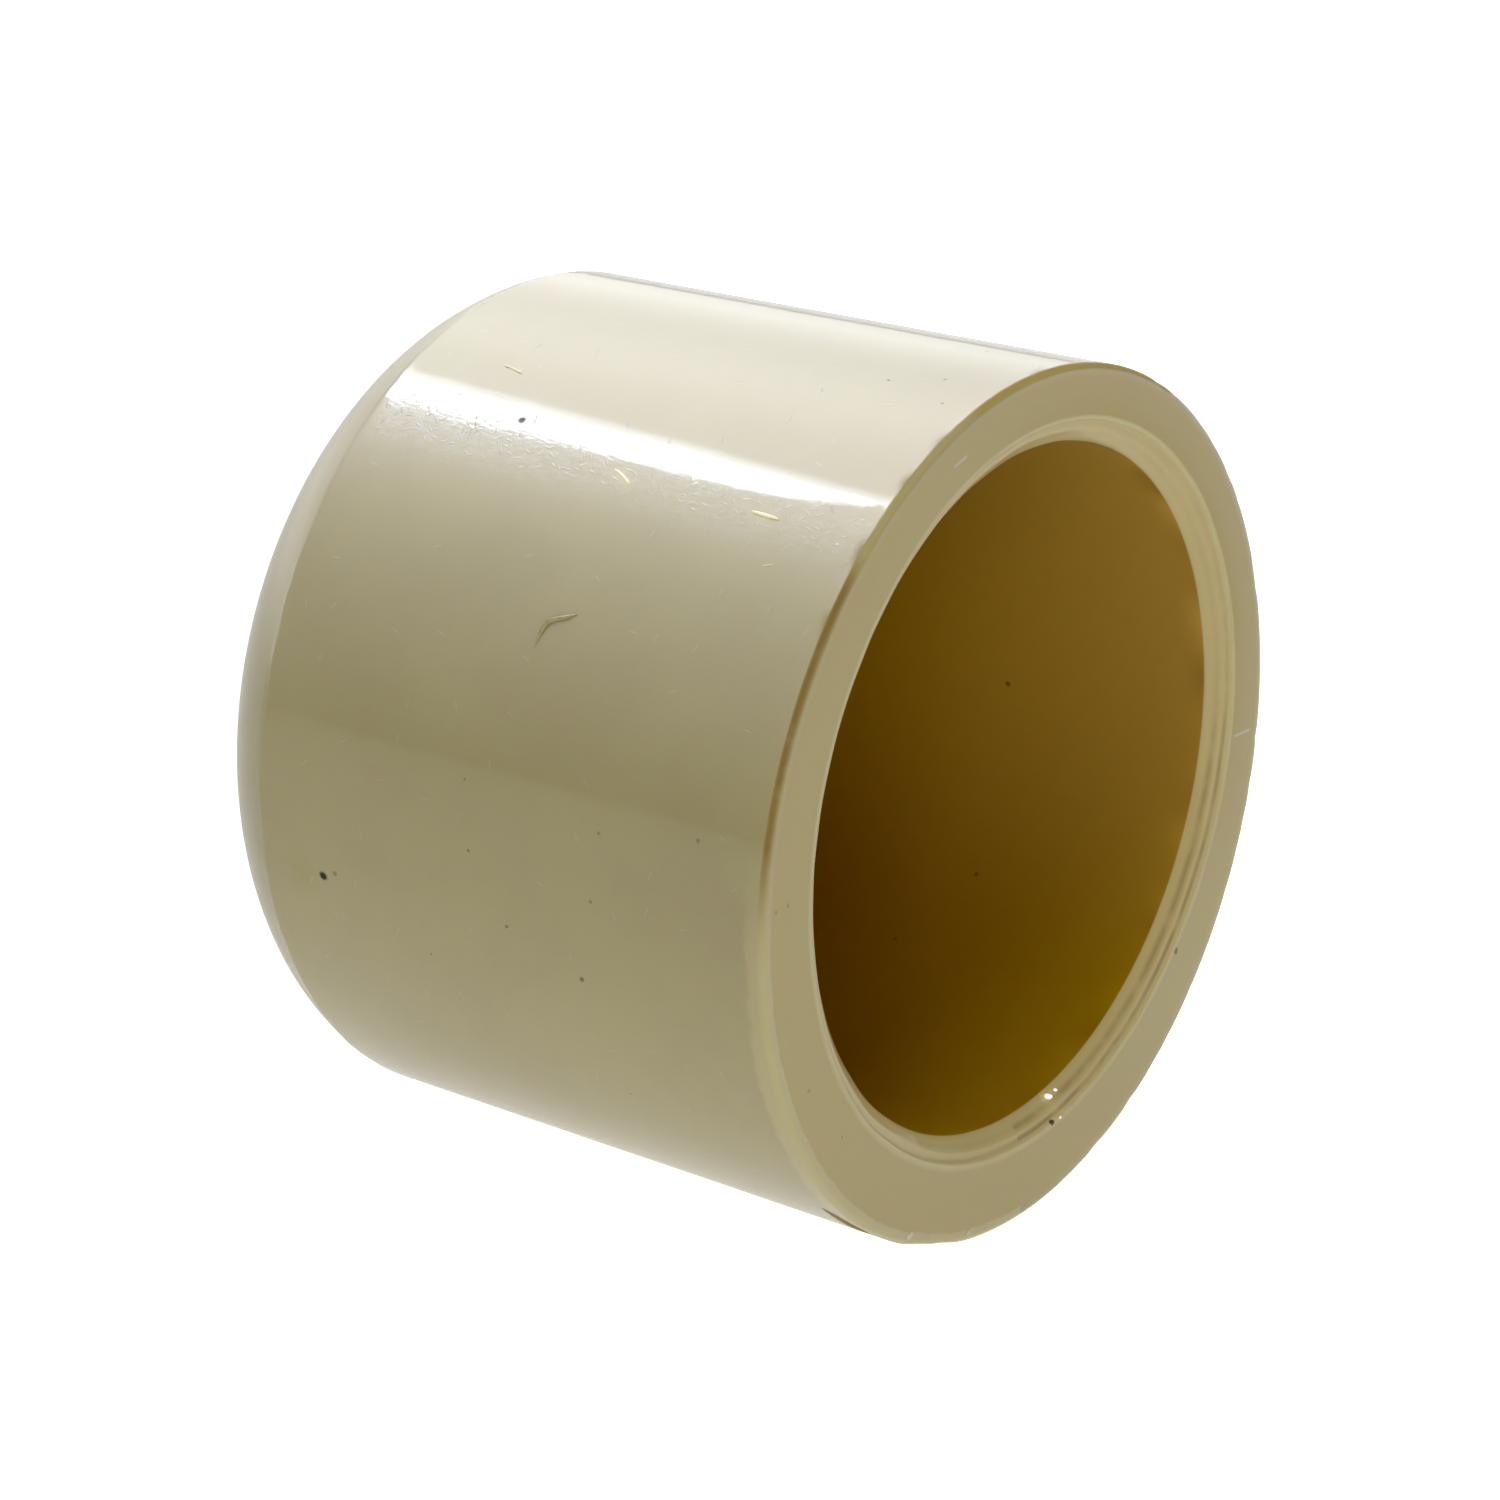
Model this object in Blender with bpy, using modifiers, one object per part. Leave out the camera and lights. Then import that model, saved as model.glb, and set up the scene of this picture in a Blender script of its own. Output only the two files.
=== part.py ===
"""Solvent-weld cap for 3/4 inch CTS water pipe, lying on its side.

The cap is a single injection moulding: a round wall with a socket that the pipe is glued
into, closed by a thick end with a rounded shoulder.
+X runs along the pipe and out of the mouth, and +Z is up. The origin is the centre of the
closed end's flat outer face.
"""

import math

import bpy
from mathutils import Matrix

MM = 0.001

# Outer shape, turned about the cap's axis
RIM_RADIUS = 14.25 * MM
LENGTH = 23.6 * MM
RIM_ROUND = 0.25 * MM
WALL_DRAFT = math.radians(1.0)
CREASE_FROM_RIM = 19.85 * MM
SHOULDER_ROUND = 5.5 * MM

# Pipe socket, to the CTS socket sizes for 3/4 inch pipe
SOCKET_MOUTH_RADIUS = 11.225 * MM
SOCKET_END_RADIUS = 11.05 * MM
SOCKET_DEPTH = 17.8 * MM
CHAMFER_WIDTH = 0.75 * MM
CHAMFER_DEPTH = 0.57 * MM

# Shallow hollow behind the ledge that stops the pipe
STOP_RADIUS = 9.3 * MM
FLOOR_THICKNESS = 3.2 * MM
HOLLOW_ROUND = 2.4 * MM

# The mould's core sits a little off the wall's axis, so the wall is thinnest at the top
CORE_SHIFT_Y = 0.3 * MM
CORE_SHIFT_Z = 0.4 * MM

# Flat where the moulding's edge gate was trimmed off, turned from straight down towards -Y
GATE_FLAT_WIDTH = 3.85 * MM
GATE_FLAT_LENGTH = 2.0 * MM
GATE_ANGLE = math.radians(20.0)

TURNED_STEPS = 96
RIM_ROUND_STEPS = 3
SHOULDER_STEPS = 7
HOLLOW_STEPS = 4
CUTTER_OVERRUN = 1.0 * MM
MERGE_DISTANCE = 0.00001

CPVC_COLOUR = (0.73, 0.67, 0.45, 1.0)
CPVC_ROUGHNESS = 0.22


def clear_scene():
    """Empty the scene, so that the script can be run again."""
    for old in list(bpy.data.objects):
        bpy.data.objects.remove(old, do_unlink=True)


def new_collection(name):
    """A collection linked to the scene."""
    collection = bpy.data.collections.new(name)
    bpy.context.scene.collection.children.link(collection)
    return collection


def cpvc_material():
    """Glossy cream chlorinated PVC."""
    material = bpy.data.materials.new("cream_cpvc")
    material.use_nodes = True
    shader = material.node_tree.nodes["Principled BSDF"]
    shader.inputs["Base Color"].default_value = CPVC_COLOUR
    shader.inputs["Roughness"].default_value = CPVC_ROUGHNESS
    shader.inputs["Metallic"].default_value = 0.0
    return material


def arc(centre_r, centre_z, radius, start, end, steps):
    """Profile points (r, z) on an arc, with angles measured from +r towards +z."""
    points = []
    for i in range(steps + 1):
        angle = start + (end - start) * i / steps
        points.append((centre_r + radius * math.cos(angle), centre_z + radius * math.sin(angle)))
    return points


def outer_profile():
    """Rim face, rounded rim edge, drafted wall, crease, shoulder and end face, top to bottom."""
    crease_radius = RIM_RADIUS - CREASE_FROM_RIM * math.tan(WALL_DRAFT)
    crease_z = LENGTH - CREASE_FROM_RIM
    crease_above_centre = crease_z - SHOULDER_ROUND
    shoulder_centre_r = crease_radius - math.sqrt(SHOULDER_ROUND**2 - crease_above_centre**2)
    shoulder_start = math.asin(crease_above_centre / SHOULDER_ROUND)

    rim_centre_r = RIM_RADIUS - RIM_ROUND
    rim_centre_z = LENGTH - RIM_ROUND

    profile = [(0.0, LENGTH)]
    profile += arc(rim_centre_r, rim_centre_z, RIM_ROUND, math.pi / 2, 0.0, RIM_ROUND_STEPS)
    profile += arc(
        shoulder_centre_r, SHOULDER_ROUND, SHOULDER_ROUND, shoulder_start, -math.pi / 2, SHOULDER_STEPS
    )
    profile.append((0.0, 0.0))
    return profile


def socket_profile():
    """The space inside: lead-in chamfer, tapered socket, pipe stop and hollow, top to bottom."""
    above_rim = LENGTH + CUTTER_OVERRUN
    chamfer_slope = CHAMFER_WIDTH / CHAMFER_DEPTH
    above_rim_radius = SOCKET_MOUTH_RADIUS + CHAMFER_WIDTH + CUTTER_OVERRUN * chamfer_slope
    stop_z = LENGTH - SOCKET_DEPTH

    profile = [(0.0, above_rim), (above_rim_radius, above_rim)]
    profile.append((SOCKET_MOUTH_RADIUS, LENGTH - CHAMFER_DEPTH))
    profile.append((SOCKET_END_RADIUS, stop_z))
    profile.append((STOP_RADIUS, stop_z))
    hollow_centre_r = STOP_RADIUS - HOLLOW_ROUND
    hollow_centre_z = FLOOR_THICKNESS + HOLLOW_ROUND
    profile += arc(hollow_centre_r, hollow_centre_z, HOLLOW_ROUND, 0.0, -math.pi / 2, HOLLOW_STEPS)
    profile.append((0.0, FLOOR_THICKNESS))
    return profile


def turned_solid(name, profile, collection):
    """Turn an (r, z) profile about local Z, and lay it down so that local +Z is world +X."""
    mesh = bpy.data.meshes.new(name)
    vertices = [(r, 0.0, z) for r, z in profile]
    edges = [(i, i + 1) for i in range(len(profile) - 1)]
    mesh.from_pydata(vertices, edges, [])
    solid = bpy.data.objects.new(name, mesh)
    collection.objects.link(solid)

    screw = solid.modifiers.new("Turn", "SCREW")
    screw.axis = "Z"
    screw.angle = math.tau
    screw.steps = TURNED_STEPS
    screw.render_steps = TURNED_STEPS
    screw.use_merge_vertices = True
    screw.merge_threshold = MERGE_DISTANCE
    screw.use_smooth_shade = True

    solid.rotation_euler = (0.0, math.pi / 2, 0.0)
    return solid


def gate_flat_cutter(collection):
    """Box whose top face trims the flat on the rim's outer edge."""
    half_width = GATE_FLAT_WIDTH / 2
    flat_from_axis = math.sqrt(RIM_RADIUS**2 - half_width**2)
    bpy.ops.mesh.primitive_cube_add(size=1.0)
    cutter = bpy.context.active_object
    cutter.name = "gate_flat_cutter"
    for owner in list(cutter.users_collection):
        owner.objects.unlink(cutter)
    collection.objects.link(cutter)

    box_length = GATE_FLAT_LENGTH + CUTTER_OVERRUN
    box_width = GATE_FLAT_WIDTH * 2
    box_height = CUTTER_OVERRUN * 2
    cutter.data.transform(Matrix.Diagonal((box_length, box_width, box_height, 1.0)))
    box_x = LENGTH - GATE_FLAT_LENGTH + box_length / 2
    box_z = -flat_from_axis - box_height / 2
    cutter.data.transform(Matrix.Translation((box_x, 0.0, box_z)))
    cutter.rotation_euler = (-GATE_ANGLE, 0.0, 0.0)
    return cutter


def cut(solid, cutter):
    """Cut one solid from another, and keep the cutter out of the render."""
    cutter.hide_render = True
    cutter.display_type = "WIRE"
    boolean = solid.modifiers.new("Cut " + cutter.name, "BOOLEAN")
    boolean.operation = "DIFFERENCE"
    boolean.solver = "EXACT"
    boolean.object = cutter


def build_cap_body(parts, cutters):
    """The one moulding: outer shape, less the socket, less the trimmed gate's flat."""
    body = turned_solid("cap_body", outer_profile(), parts)

    socket = turned_solid("socket_cutter", socket_profile(), cutters)
    socket.location = (0.0, CORE_SHIFT_Y, CORE_SHIFT_Z)
    cut(body, socket)
    cut(body, gate_flat_cutter(cutters))

    # Flat faces keep flat shading, and only the rounded edges shade smoothly
    normals = body.modifiers.new("Flat faces", "WEIGHTED_NORMAL")
    normals.mode = "FACE_AREA"

    body.data.materials.append(cpvc_material())
    return body


clear_scene()
cap_parts = new_collection("pipe_cap")
cap_cutters = new_collection("pipe_cap_cutters")
build_cap_body(cap_parts, cap_cutters)
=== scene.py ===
"""Finished look of the solvent-weld pipe cap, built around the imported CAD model.

The CAD solid stays for collision, and a finer mesh of the same moulding stands for it, with the
stepped lead-in round the mouth, the soft crease, the trimmed gate, and the specks, scratches and
shavings of a handled moulding. Lengths are in metres in the CAD's frame, where +X runs out of
the mouth and +Z is up. An angle round the cap is measured from the top towards -Y.
"""

import math
from collections import namedtuple

import bmesh
import bpy
from mathutils import Matrix, Vector, noise


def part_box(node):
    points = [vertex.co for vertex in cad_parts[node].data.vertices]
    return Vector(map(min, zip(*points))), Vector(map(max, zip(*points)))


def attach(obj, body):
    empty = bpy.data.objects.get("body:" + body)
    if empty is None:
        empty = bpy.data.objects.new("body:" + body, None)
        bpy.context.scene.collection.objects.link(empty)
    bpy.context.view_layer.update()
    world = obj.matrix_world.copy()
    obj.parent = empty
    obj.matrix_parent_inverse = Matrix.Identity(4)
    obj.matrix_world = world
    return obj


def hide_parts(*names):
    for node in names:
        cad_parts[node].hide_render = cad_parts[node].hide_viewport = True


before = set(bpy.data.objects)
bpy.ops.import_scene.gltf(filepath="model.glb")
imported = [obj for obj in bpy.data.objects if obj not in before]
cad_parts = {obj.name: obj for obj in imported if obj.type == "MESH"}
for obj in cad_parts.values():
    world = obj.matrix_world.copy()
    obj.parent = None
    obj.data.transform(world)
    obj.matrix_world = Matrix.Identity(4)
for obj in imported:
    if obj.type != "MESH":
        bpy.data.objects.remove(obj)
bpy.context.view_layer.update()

MM = 0.001

# Outer shape. The size comes from the CAD, and the rest repeats its driving dimensions
BODY_LOW, BODY_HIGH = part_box("cap_body")
LENGTH = BODY_HIGH.x - BODY_LOW.x
RIM_RADIUS = (BODY_HIGH.z - BODY_LOW.z) / 2
RIM_ROUND = 0.25 * MM
WALL_DRAFT = math.radians(1.0)
CREASE_DEPTH = 19.85 * MM
CREASE_ROUND = 0.06 * MM
CREASE_EASE = CREASE_ROUND / 12
SHOULDER_ROUND = 5.5 * MM

# Socket, measured from the mouth inwards, about the moulding core's own axis
CORE_SHIFT = Vector((0.0, 0.3 * MM, 0.4 * MM))
STEP_RADIUS = 11.975 * MM
STEP_DEPTH = 0.15 * MM
STEP_EDGE_ROUND = 0.11 * MM
LEDGE_OUTER = 11.88 * MM
LEDGE_INNER = 11.70 * MM
LEDGE_DEPTH = 0.19 * MM
LIP_SOFTNESS = 0.03 * MM
BORE_RADIUS = 11.225 * MM
CHAMFER_DEPTH = 0.57 * MM
SOCKET_END_RADIUS = 11.05 * MM
SOCKET_DEPTH = 17.8 * MM
STOP_CORNER_ROUND = 0.2 * MM
STOP_RADIUS = 9.3 * MM
FLOOR_THICKNESS = 3.2 * MM
HOLLOW_ROUND = 2.4 * MM

# Flat where the edge gate was trimmed off
GATE_FLAT_WIDTH = 3.85 * MM
GATE_FLAT_LENGTH = 2.0 * MM
GATE_ANGLE = math.radians(160.0)

# Gap between the last ring of the whole wall and the first that the flat cuts
FLAT_RING_GAP = 0.01 * MM

# Points in a ring, and the steps that each stretch of the profile is made in
AROUND = 576
END_STEPS = 5
SHOULDER_STEPS = 24
WALL_STEPS = 44
FLAT_STEPS = 6
RIM_ROUND_STEPS = 6
FACE_STEPS = 8
STEP_EDGE_STEPS = 5
CHAMFER_STEPS = 3
BORE_STEPS = 20
STOP_CORNER_STEPS = 4
STOP_STEPS = 3
HOLLOW_STEPS = 10
FLOOR_STEPS = 5

# Which of the lip's rings lie in a groove, counted from the step's edge
GROOVE_RINGS = (0, 1, 4)

# Depth by which the socket's painted shade is at its deepest
SHADED_DEPTH = 14.0 * MM

# How far back from the mouth the wall is pale on its lower side
PALE_RIM_DEPTH = 1.1 * MM

# How far the moulding strays from its ideal surface, and over what wavelengths
WALL_RIPPLE = 0.004 * MM
WALL_RIPPLE_COARSE = 3.0 * MM
WALL_RIPPLE_FINE = 1.3 * MM
CREASE_WANDER = 0.07 * MM
CREASE_WANDER_COARSE = 1.6 * MM
CREASE_WANDER_FINE = 0.45 * MM
EDGE_NIBBLE = 0.06 * MM
EDGE_NIBBLE_SIZE = 0.9 * MM
LIP_NIBBLE = 0.03 * MM
LIP_NIBBLE_SIZE = 1.5 * MM

Ring = namedtuple("Ring", "x radius core zone")


def direction(angle):
    """Unit vector square to the cap's axis, at an angle from the top towards -Y."""
    return Vector((0.0, -math.sin(angle), math.cos(angle)))


def arc(centre_x, centre_r, radius, start, end, steps):
    """(x, r) points on an arc, with angles in degrees measured from +x towards +r."""
    points = []
    for i in range(steps + 1):
        angle = math.radians(start + (end - start) * i / steps)
        points.append((centre_x + radius * math.cos(angle), centre_r + radius * math.sin(angle)))
    return points


def steps_between(start, end, count):
    """(x, r) points that divide a straight stretch, without its first point."""
    points = []
    for i in range(1, count + 1):
        share = i / count
        points.append(tuple(a + (b - a) * share for a, b in zip(start, end)))
    return points


def wall_radius(depth):
    """Radius of the drafted wall at a depth behind the mouth."""
    return RIM_RADIUS - depth * math.tan(WALL_DRAFT)


def on_wall(x):
    """(x, r) point on the ideal wall."""
    return x, wall_radius(LENGTH - x)


def outer_rings():
    """End face, shoulder, crease, drafted wall and rim edge, from the closed end to the mouth."""
    crease_x = LENGTH - CREASE_DEPTH
    crease_r = wall_radius(CREASE_DEPTH)
    rise = SHOULDER_ROUND - crease_x
    reach = math.sqrt(SHOULDER_ROUND**2 - rise**2)
    shoulder_r = crease_r - reach
    shoulder_end = 180.0 - math.degrees(math.acos(rise / SHOULDER_ROUND))

    rings = []
    for x, r in steps_between((0.0, 0.0), (0.0, shoulder_r), END_STEPS):
        rings.append(Ring(x, r, 0.0, "end"))
    shoulder = arc(SHOULDER_ROUND, shoulder_r, SHOULDER_ROUND, 180.0, shoulder_end, SHOULDER_STEPS)
    for x, r in shoulder[1:-1]:
        rings.append(Ring(x, r, 0.0, "shoulder"))
    for offset in (-CREASE_ROUND, 0.0, CREASE_ROUND):
        ease = CREASE_EASE if offset == 0.0 else 0.0
        slope = math.tan(WALL_DRAFT) if offset > 0 else rise / reach
        rings.append(Ring(crease_x + offset, crease_r + offset * slope - ease, 0.0, "crease"))

    flat_start = LENGTH - GATE_FLAT_LENGTH
    wall_end = LENGTH - RIM_ROUND
    whole_end = flat_start - FLAT_RING_GAP
    wall = steps_between(on_wall(crease_x + CREASE_ROUND), on_wall(whole_end), WALL_STEPS)
    wall += [on_wall(flat_start)]
    wall += steps_between(on_wall(flat_start), on_wall(wall_end), FLAT_STEPS)
    for x, r in wall:
        rings.append(Ring(x, r, 0.0, "wall"))
    for x, r in arc(wall_end, RIM_RADIUS - RIM_ROUND, RIM_ROUND, 90.0, 0.0, RIM_ROUND_STEPS)[1:]:
        rings.append(Ring(x, r, 0.0, "rim"))
    return rings


def inner_rings():
    """Mouth face, stepped lead-in, socket, pipe stop and hollow, from the mouth to the floor."""
    rings = []
    face_start = RIM_RADIUS - RIM_ROUND
    for i in range(1, FACE_STEPS):
        share = i / FACE_STEPS
        rings.append(Ring(LENGTH, face_start + (STEP_RADIUS - face_start) * share, share, "face"))

    edge_middle = STEP_RADIUS + STEP_EDGE_ROUND
    for depth, r in arc(STEP_EDGE_ROUND, edge_middle, STEP_EDGE_ROUND, 180.0, 270.0, STEP_EDGE_STEPS):
        rings.append(Ring(LENGTH - depth, r, 1.0, "step_edge"))
    soft = LIP_SOFTNESS
    lip = [(STEP_DEPTH, LEDGE_OUTER + soft), (STEP_DEPTH + soft, LEDGE_OUTER - soft)]
    lip += [(LEDGE_DEPTH, LEDGE_INNER + soft), (LEDGE_DEPTH + soft, LEDGE_INNER - soft)]
    lip += steps_between(lip[-1], (CHAMFER_DEPTH, BORE_RADIUS + soft), CHAMFER_STEPS)
    lip += [(CHAMFER_DEPTH + soft * 2, BORE_RADIUS)]
    for i, (depth, r) in enumerate(lip):
        rings.append(Ring(LENGTH - depth, r, 1.0, "groove" if i in GROOVE_RINGS else "lip"))

    # A ring close behind the lip keeps the border of their colours crisp
    stop_x = LENGTH - SOCKET_DEPTH
    corner = STOP_CORNER_ROUND
    bore_start = (rings[-1].x - soft, BORE_RADIUS)
    rings.append(Ring(*bore_start, 1.0, "bore"))
    for x, r in steps_between(bore_start, (stop_x + corner, SOCKET_END_RADIUS), BORE_STEPS):
        rings.append(Ring(x, r, 1.0, "bore"))
    stop = arc(stop_x + corner, SOCKET_END_RADIUS - corner, corner, 90.0, 180.0, STOP_CORNER_STEPS)[1:]
    stop += steps_between(stop[-1], (stop_x, STOP_RADIUS + corner / 2), STOP_STEPS)
    stop += [(stop_x - corner / 4, STOP_RADIUS + corner / 8)]
    hollow_x = FLOOR_THICKNESS + HOLLOW_ROUND
    stop += arc(hollow_x, STOP_RADIUS - HOLLOW_ROUND, HOLLOW_ROUND, 90.0, 180.0, HOLLOW_STEPS)
    stop += steps_between(stop[-1], (FLOOR_THICKNESS, 0.0), FLOOR_STEPS)[:-1]
    for x, r in stop:
        rings.append(Ring(x, r, 1.0, "floor"))
    return rings


def noise_at(point, wavelength, seed):
    """Smooth noise from -1 to 1."""
    return noise.noise(point / wavelength + Vector((seed, seed * 1.7, seed * 2.3)))


def stray(ring, angle):
    """How far the real surface strays from the ideal ring, as (along x, along r)."""
    outward = direction(angle)
    place = Vector((ring.x, 0.0, 0.0)) + outward * ring.radius
    if ring.zone == "wall":
        ripple = noise_at(place, WALL_RIPPLE_COARSE, 1.0)
        ripple += 0.5 * noise_at(place, WALL_RIPPLE_FINE, 2.0)
        return 0.0, WALL_RIPPLE * (ripple - 1.5)
    if ring.zone == "crease":
        around = outward * ring.radius
        wander = noise_at(around, CREASE_WANDER_COARSE, 3.0)
        wander += 0.7 * noise_at(around, CREASE_WANDER_FINE, 4.0)
        return CREASE_WANDER * wander, CREASE_WANDER * wander * math.tan(WALL_DRAFT)
    if ring.zone == "rim":
        nibble = max(0.0, noise_at(outward * ring.radius, EDGE_NIBBLE_SIZE, 5.0) - 0.1)
        return -EDGE_NIBBLE * 0.3 * nibble, -EDGE_NIBBLE * nibble
    if ring.zone in ("lip", "groove", "step_edge"):
        return 0.0, LIP_NIBBLE * noise_at(outward * ring.radius, LIP_NIBBLE_SIZE, 6.0)
    return 0.0, 0.0


def trim_gate(point):
    """Move a point on the rim's outer edge onto the flat left by the trimmed gate."""
    half_width = GATE_FLAT_WIDTH / 2
    flat_from_axis = math.sqrt(RIM_RADIUS**2 - half_width**2)
    gate = direction(GATE_ANGLE)
    proud = point.dot(gate) - flat_from_axis
    if proud > 0 and point.x >= LENGTH - GATE_FLAT_LENGTH:
        return point - gate * proud
    return point


def link_object(name, data):
    """An object made of this mesh, curve, lamp or camera, linked to the scene."""
    made = bpy.data.objects.new(name, data)
    bpy.context.scene.collection.objects.link(made)
    return made


def loft(name, rings):
    """Closed mesh over rings about the cap's axis, with a centre point at each end."""
    vertices = [Vector((rings[0].x, 0.0, 0.0))]
    for ring in rings:
        centre = CORE_SHIFT * ring.core
        for i in range(AROUND):
            angle = math.tau * i / AROUND
            along, out = stray(ring, angle)
            point = Vector((ring.x + along, 0.0, 0.0)) + centre + direction(angle) * (ring.radius + out)
            vertices.append(trim_gate(point))
    vertices.append(Vector((rings[-1].x, 0.0, 0.0)) + CORE_SHIFT)

    faces = []
    last = len(vertices) - 1
    for i in range(AROUND):
        after = (i + 1) % AROUND
        faces.append((0, 1 + after, 1 + i))
        for k in range(len(rings) - 1):
            here = 1 + k * AROUND
            there = here + AROUND
            faces.append((here + i, here + after, there + after, there + i))
        faces.append((last, last - AROUND + i, last - AROUND + after))

    mesh = bpy.data.meshes.new(name)
    mesh.from_pydata(vertices, [], faces)
    mesh.shade_smooth()
    return mesh


def write_mask(mesh, name, rings, value_of):
    """Store one value for each ring's points as a mask that the materials read."""
    values = [value_of(rings[0])]
    for ring in rings:
        values += [value_of(ring)] * AROUND
    values.append(value_of(rings[-1]))
    mask = mesh.attributes.new(name, "FLOAT", "POINT")
    mask.data.foreach_set("value", values)


def zone_share(*zones):
    """Function that gives 1 for the rings of these zones."""
    return lambda ring: 1.0 if ring.zone in zones else 0.0


def depth_share(ring):
    """0 at the mouth, rising to 1 where the socket gets no direct light."""
    depth = LENGTH - ring.x
    return min(1.0, depth / SHADED_DEPTH) if ring.zone in ("bore", "floor") else 0.0


def rim_share(ring):
    """1 in the middle of the rim's rounded outer edge, and 0 where it meets the wall and face."""
    if ring.zone != "rim":
        return 0.0
    across = (LENGTH - ring.x) / RIM_ROUND
    return 1.0 - abs(2 * across - 1.0)**3


def pale_rim_share(ring):
    """1 on the rim's outer edge, fading out along the last of the wall."""
    depth = LENGTH - ring.x
    if ring.zone == "rim":
        return 1.0
    return max(0.0, 1.0 - depth / PALE_RIM_DEPTH) if ring.zone == "wall" else 0.0


MASKS = {
    "inside": zone_share("bore", "floor"),
    "depth": depth_share,
    "rim_edge": rim_share,
    "pale_rim": pale_rim_share,
    "lead_in": zone_share("lip", "groove"),
    "groove": zone_share("groove"),
    "step_edge": zone_share("step_edge"),
    "mouth_face": zone_share("face"),
    "shoulder": zone_share("shoulder", "end"),
    "wall": zone_share("wall"),
}


def build_body(material):
    """The one moulding, as a fine mesh that stands for the CAD solid."""
    rings = outer_rings() + inner_rings()
    mesh = loft("moulded_cap", rings)
    for name, share_of in MASKS.items():
        write_mask(mesh, name, rings, share_of)
    mesh.materials.append(material)
    body = link_object("moulded_cap", mesh)
    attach(body, "root")
    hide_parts("cap_body")


def new_material(name):
    material = bpy.data.materials.new(name)
    material.use_nodes = True
    return material


class Graph:
    """The node tree of a material or world. Most calls add a node and give one of its outputs."""

    def __init__(self, owner):
        self.tree = owner.node_tree

    def feed(self, socket, value):
        """Link an output to a socket, or give the socket a plain value."""
        if isinstance(value, bpy.types.NodeSocket):
            self.tree.links.new(value, socket)
        elif value is not None:
            socket.default_value = value

    def add(self, kind, inputs, output=0, **settings):
        """Add a node, give its inputs by name or number, and return one of its outputs."""
        made = self.tree.nodes.new(kind)
        for name, value in settings.items():
            setattr(made, name, value)
        for key, value in inputs.items():
            self.feed(made.inputs[key], value)
        return made.outputs[output]

    def math(self, operation, a, b=None):
        return self.add("ShaderNodeMath", {0: a, 1: b}, operation=operation)

    def product(self, first, *others):
        """Multiply values together."""
        for other in others:
            first = self.math("MULTIPLY", first, other)
        return first

    def vector(self, operation, a, b=None, scale=None, output=0):
        inputs = {0: a, 1: b}
        if scale is not None:
            inputs["Scale"] = scale
        return self.add("ShaderNodeVectorMath", inputs, output, operation=operation)

    def ramp(self, value, low, high, start=0.0, end=1.0):
        """Smooth step from start to end as a value goes from low to high."""
        inputs = {"Value": value, "From Min": low, "From Max": high, "To Min": start, "To Max": end}
        return self.add("ShaderNodeMapRange", inputs, interpolation_type="SMOOTHSTEP")

    def mix(self, share, a, b):
        """Mix two colours."""
        inputs = {0: share, 6: a, 7: b}
        return self.add("ShaderNodeMix", inputs, 2, data_type="RGBA")

    def noise(self, place, wavelength, detail=2.0):
        """Noise from 0 to 1, with its wavelength in millimetres."""
        inputs = {"Vector": place, "Scale": 1 / wavelength, "Detail": detail}
        return self.add("ShaderNodeTexNoise", inputs)

    def mask(self, name):
        """A mask stored on the mesh."""
        return self.add("ShaderNodeAttribute", {}, "Fac", attribute_name=name)

    def place(self):
        """Place on the object, in millimetres."""
        return self.vector("SCALE", self.add("ShaderNodeTexCoord", {}, "Object"), scale=1 / MM)

    def distance(self, place, point):
        """Distance in millimetres to a fixed point."""
        return self.vector("DISTANCE", place, tuple(point / MM), output="Value")

    def along(self, place, way):
        """How far a place lies along a fixed direction, times that direction's length."""
        return self.vector("DOT_PRODUCT", place, tuple(way), output="Value")

    def split(self, place):
        """Node whose outputs X, Y and Z are the parts of a vector."""
        return self.add("ShaderNodeSeparateXYZ", {0: place}).node


def rgb(red, green, blue):
    return (red, green, blue, 1.0)


# Colours of the plastic, in linear light
CREAM = rgb(0.725, 0.63, 0.295)
CLOUDED_CREAM = rgb(0.695, 0.595, 0.285)
# The socket's colours are painted light and shade: tan, a glow near the mouth and on the lit upper side,
# and shaded gold deep in
SOCKET_TAN = rgb(0.60, 0.36, 0.005)
SOCKET_GLOW = rgb(0.76, 0.48, 0.09)
SHADED_GOLD = rgb(0.37, 0.165, 0.0)
FACE_CREAM = rgb(0.725, 0.585, 0.205)
# The face's yellow, by the step on the thin upper side, is painted shade and light through the wall
FACE_YELLOW = rgb(0.64, 0.465, 0.08)
# Rim edge colours: the gold is painted light through the edge over the top, and the brown is painted shade
# on the front
EDGE_LIT_GOLD = rgb(0.72, 0.50, 0.12)
EDGE_SHADE_BROWN = rgb(0.46, 0.31, 0.09)
EDGE_PALE = rgb(0.86, 0.75, 0.38)
# On the lead-in, the pale tan is painted light on the chamfer, and the step's cream is a painted highlight
# on its edge
LIP_LIT_TAN = rgb(0.92, 0.755, 0.35)
# Painted shade in the lead-in's grooves
GROOVE_SHADE_BROWN = rgb(0.46, 0.29, 0.11)
STEP_HIGHLIGHT_CREAM = rgb(0.98, 0.82, 0.42)
# White of nicks and scratches, and a painted sheen in the scuffed band under the long highlight
NICK_AND_SHEEN_WHITE = rgb(0.95, 0.92, 0.82)
STAIN_YELLOW = rgb(0.60, 0.50, 0.14)
SPECK_BROWN = rgb(0.035, 0.03, 0.008)

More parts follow.
